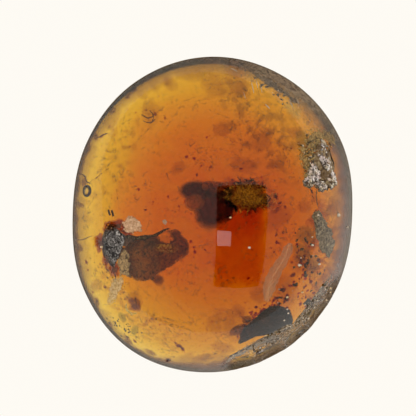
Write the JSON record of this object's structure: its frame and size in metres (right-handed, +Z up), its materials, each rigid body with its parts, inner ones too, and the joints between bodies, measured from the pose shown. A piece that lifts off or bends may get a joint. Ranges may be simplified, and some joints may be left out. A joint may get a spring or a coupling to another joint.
{
  "type": "insect in amber",
  "caption": "Polished amber pebble with a domed top and a flat back, holding a half-exposed insect, dark plant debris and a crystal-filled pit.",
  "frame": {"origin": "middle of the pebble's box, on the flat back that it rests on", "axes": "+Z up through the dome, +Y along the pebble's long side, +X across it"},
  "size_m": [0.0248, 0.028, 0.0115],
  "materials": {
    "amber": "polished, clear honey to red-orange with depth",
    "insect": "brown chitin, charred black and sparkling where ground open",
    "dark_body": "dark brown, dull",
    "plant_debris": "mottled olive brown, dull",
    "charred_fragment": "black, charred",
    "pale_flake": "pale, translucent and dull",
    "scaly_flake": "grey green, scaly",
    "crystals": "silvery crystals with yellow and brown stain"
  },
  "bodies": {
    "root": {"amber_base": "amber", "amber_top": "amber", "insect": "insect", "dark_body": "dark_body", "plant_debris": "plant_debris", "black_fragment": "charred_fragment", "pale_flake": "pale_flake", "scaly_flake": "scaly_flake", "pit_crystals": "crystals"}
  },
  "joints": []
}
